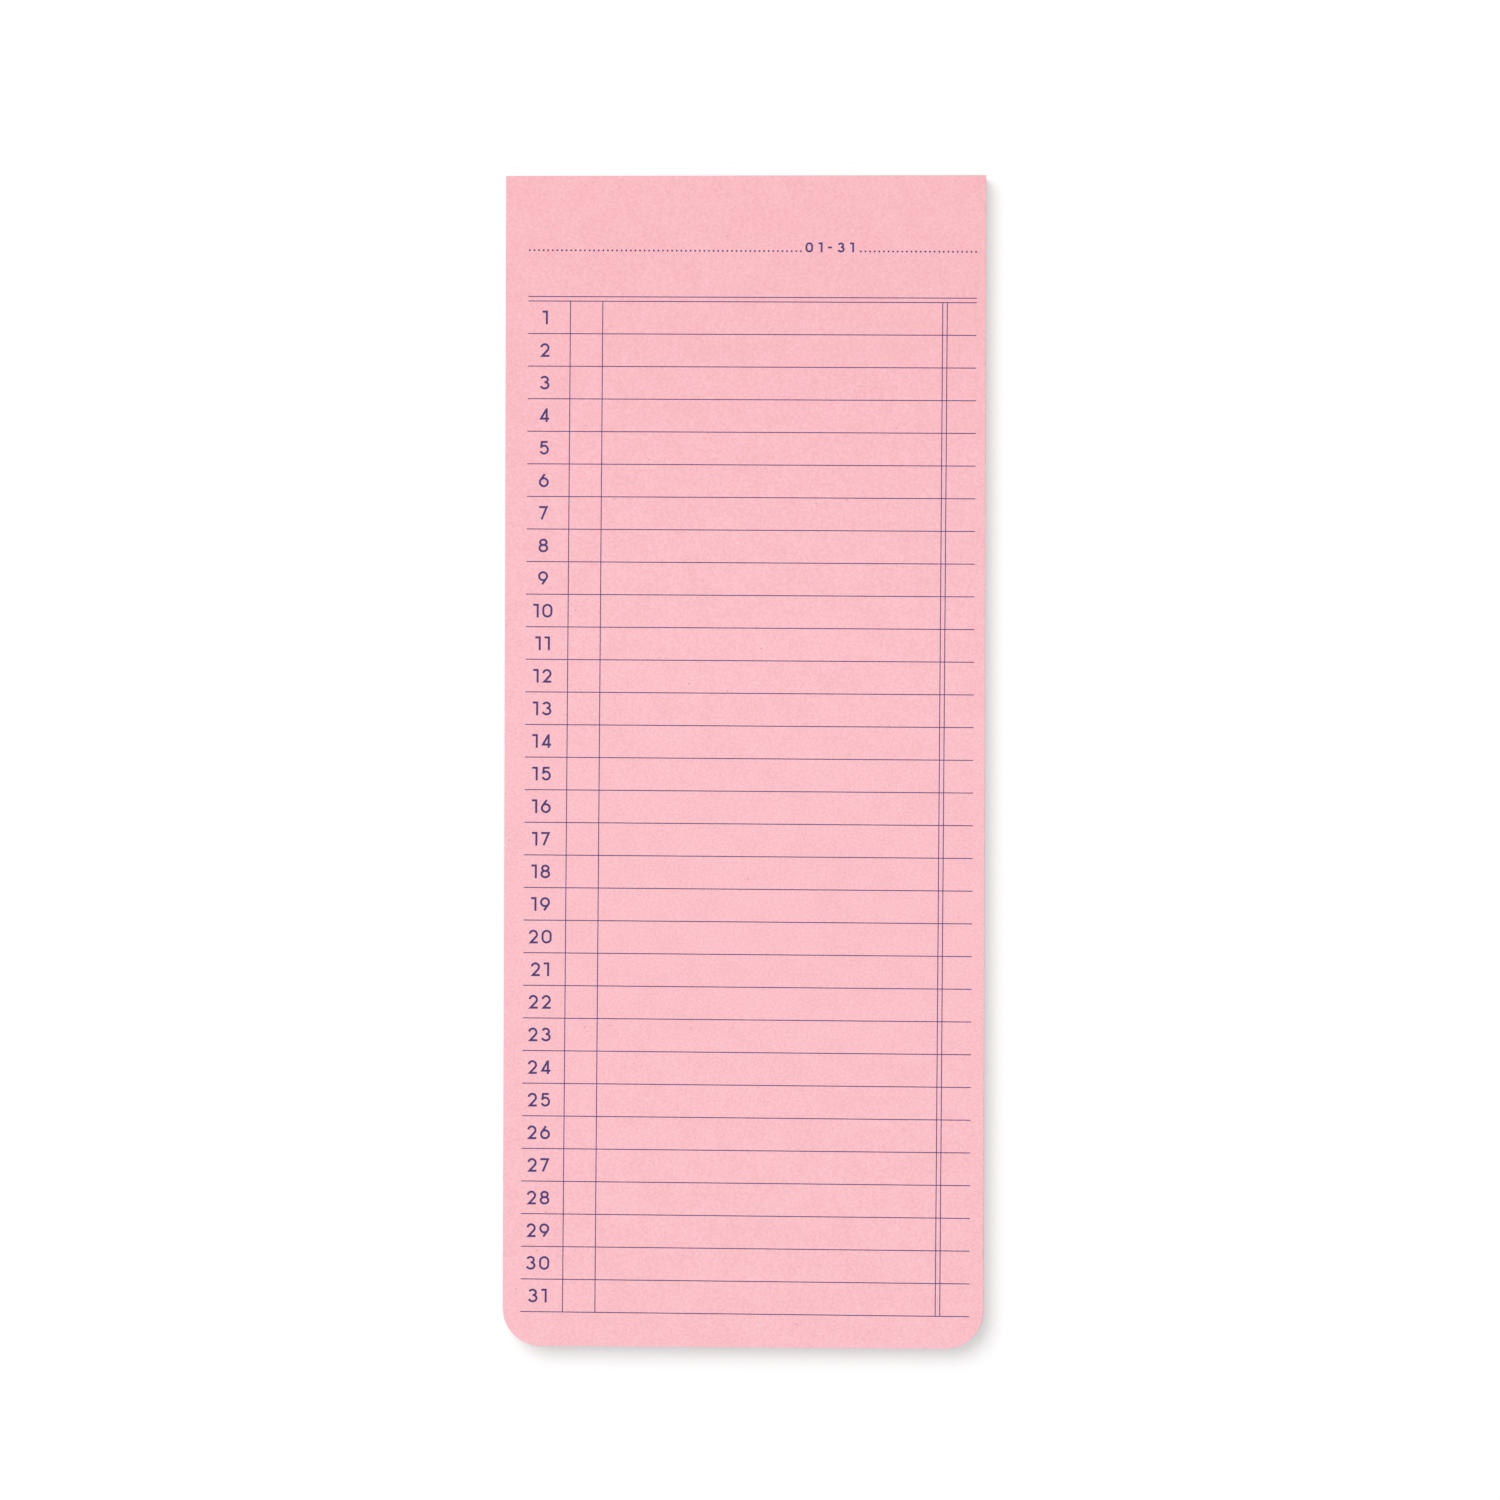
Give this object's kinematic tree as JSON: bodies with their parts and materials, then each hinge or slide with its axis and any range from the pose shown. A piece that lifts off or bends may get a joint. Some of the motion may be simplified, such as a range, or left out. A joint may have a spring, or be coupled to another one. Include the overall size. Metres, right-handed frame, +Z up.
{
  "type": "sticky memo pad",
  "caption": "Tall pad of ruled one-month memo sheets on a backing card, each held by a removable adhesive strip on its back so that it peels off.",
  "frame": {"origin": "under the middle of the pad's outline, on the surface that the backing card lies on", "axes": "+Z up out of the printed face, +Y along the sheet towards its heading and adhesive edge, +X to the reader's right"},
  "size_m": [0.08, 0.195, 0.0036],
  "materials": {
    "sheet_paper": "uncoated, dyed pink through, printed on the front in violet ink",
    "removable_adhesive": "thin milky film, slightly glossy",
    "backing_board": "solid grey board, uncoated"
  },
  "bodies": {
    "backing": {"backing_card": "backing_board"},
    "leaf_24": {"sheet_24": "sheet_paper", "adhesive_strip_24": "removable_adhesive"},
    "leaf_23": {"sheet_23": "sheet_paper", "adhesive_strip_23": "removable_adhesive"},
    "leaf_22": {"sheet_22": "sheet_paper", "adhesive_strip_22": "removable_adhesive"},
    "leaf_21": {"sheet_21": "sheet_paper", "adhesive_strip_21": "removable_adhesive"},
    "leaf_20": {"sheet_20": "sheet_paper", "adhesive_strip_20": "removable_adhesive"},
    "leaf_19": {"sheet_19": "sheet_paper", "adhesive_strip_19": "removable_adhesive"},
    "leaf_18": {"sheet_18": "sheet_paper", "adhesive_strip_18": "removable_adhesive"},
    "leaf_17": {"sheet_17": "sheet_paper", "adhesive_strip_17": "removable_adhesive"},
    "leaf_16": {"sheet_16": "sheet_paper", "adhesive_strip_16": "removable_adhesive"},
    "leaf_15": {"sheet_15": "sheet_paper", "adhesive_strip_15": "removable_adhesive"},
    "leaf_14": {"sheet_14": "sheet_paper", "adhesive_strip_14": "removable_adhesive"},
    "leaf_13": {"sheet_13": "sheet_paper", "adhesive_strip_13": "removable_adhesive"},
    "leaf_12": {"sheet_12": "sheet_paper", "adhesive_strip_12": "removable_adhesive"},
    "leaf_11": {"sheet_11": "sheet_paper", "adhesive_strip_11": "removable_adhesive"},
    "leaf_10": {"sheet_10": "sheet_paper", "adhesive_strip_10": "removable_adhesive"},
    "leaf_09": {"sheet_09": "sheet_paper", "adhesive_strip_09": "removable_adhesive"},
    "leaf_08": {"sheet_08": "sheet_paper", "adhesive_strip_08": "removable_adhesive"},
    "leaf_07": {"sheet_07": "sheet_paper", "adhesive_strip_07": "removable_adhesive"},
    "leaf_06": {"sheet_06": "sheet_paper", "adhesive_strip_06": "removable_adhesive"},
    "leaf_05": {"sheet_05": "sheet_paper", "adhesive_strip_05": "removable_adhesive"},
    "leaf_04": {"sheet_04": "sheet_paper", "adhesive_strip_04": "removable_adhesive"},
    "leaf_03": {"sheet_03": "sheet_paper", "adhesive_strip_03": "removable_adhesive"},
    "leaf_02": {"sheet_02": "sheet_paper", "adhesive_strip_02": "removable_adhesive"},
    "leaf_01": {"sheet_01_bound_end": "sheet_paper", "adhesive_strip_01": "removable_adhesive"},
    "leaf_01_loose_end": {"sheet_01_free_end": "sheet_paper"}
  },
  "joints": [
    {"name": "sheet_24_peel", "type": "slide", "parent": "backing", "child": "leaf_24", "axis": [0, 0, 1], "range_m": [0, 0.008]},
    {"name": "sheet_23_peel", "type": "slide", "parent": "leaf_24", "child": "leaf_23", "axis": [0, 0, 1], "range_m": [0, 0.008]},
    {"name": "sheet_22_peel", "type": "slide", "parent": "leaf_23", "child": "leaf_22", "axis": [0, 0, 1], "range_m": [0, 0.008]},
    {"name": "sheet_21_peel", "type": "slide", "parent": "leaf_22", "child": "leaf_21", "axis": [0, 0, 1], "range_m": [0, 0.008]},
    {"name": "sheet_20_peel", "type": "slide", "parent": "leaf_21", "child": "leaf_20", "axis": [0, 0, 1], "range_m": [0, 0.008]},
    {"name": "sheet_19_peel", "type": "slide", "parent": "leaf_20", "child": "leaf_19", "axis": [0, 0, 1], "range_m": [0, 0.008]},
    {"name": "sheet_18_peel", "type": "slide", "parent": "leaf_19", "child": "leaf_18", "axis": [0, 0, 1], "range_m": [0, 0.008]},
    {"name": "sheet_17_peel", "type": "slide", "parent": "leaf_18", "child": "leaf_17", "axis": [0, 0, 1], "range_m": [0, 0.008]},
    {"name": "sheet_16_peel", "type": "slide", "parent": "leaf_17", "child": "leaf_16", "axis": [0, 0, 1], "range_m": [0, 0.008]},
    {"name": "sheet_15_peel", "type": "slide", "parent": "leaf_16", "child": "leaf_15", "axis": [0, 0, 1], "range_m": [0, 0.008]},
    {"name": "sheet_14_peel", "type": "slide", "parent": "leaf_15", "child": "leaf_14", "axis": [0, 0, 1], "range_m": [0, 0.008]},
    {"name": "sheet_13_peel", "type": "slide", "parent": "leaf_14", "child": "leaf_13", "axis": [0, 0, 1], "range_m": [0, 0.008]},
    {"name": "sheet_12_peel", "type": "slide", "parent": "leaf_13", "child": "leaf_12", "axis": [0, 0, 1], "range_m": [0, 0.008]},
    {"name": "sheet_11_peel", "type": "slide", "parent": "leaf_12", "child": "leaf_11", "axis": [0, 0, 1], "range_m": [0, 0.008]},
    {"name": "sheet_10_peel", "type": "slide", "parent": "leaf_11", "child": "leaf_10", "axis": [0, 0, 1], "range_m": [0, 0.008]},
    {"name": "sheet_09_peel", "type": "slide", "parent": "leaf_10", "child": "leaf_09", "axis": [0, 0, 1], "range_m": [0, 0.008]},
    {"name": "sheet_08_peel", "type": "slide", "parent": "leaf_09", "child": "leaf_08", "axis": [0, 0, 1], "range_m": [0, 0.008]},
    {"name": "sheet_07_peel", "type": "slide", "parent": "leaf_08", "child": "leaf_07", "axis": [0, 0, 1], "range_m": [0, 0.008]},
    {"name": "sheet_06_peel", "type": "slide", "parent": "leaf_07", "child": "leaf_06", "axis": [0, 0, 1], "range_m": [0, 0.008]},
    {"name": "sheet_05_peel", "type": "slide", "parent": "leaf_06", "child": "leaf_05", "axis": [0, 0, 1], "range_m": [0, 0.008]},
    {"name": "sheet_04_peel", "type": "slide", "parent": "leaf_05", "child": "leaf_04", "axis": [0, 0, 1], "range_m": [0, 0.008]},
    {"name": "sheet_03_peel", "type": "slide", "parent": "leaf_04", "child": "leaf_03", "axis": [0, 0, 1], "range_m": [0, 0.008]},
    {"name": "sheet_02_peel", "type": "slide", "parent": "leaf_03", "child": "leaf_02", "axis": [0, 0, 1], "range_m": [0, 0.008]},
    {"name": "sheet_01_peel", "type": "slide", "parent": "leaf_02", "child": "leaf_01", "axis": [0, 0, 1], "range_m": [0, 0.008]},
    {"name": "sheet_01_lift", "type": "hinge", "parent": "leaf_01", "child": "leaf_01_loose_end", "pos_m": [0, 0.07885, 0.00362], "axis": [-1, 0, 0], "range_deg": [0, 170], "stiffness_Nm_per_rad": 0.0015}
  ]
}
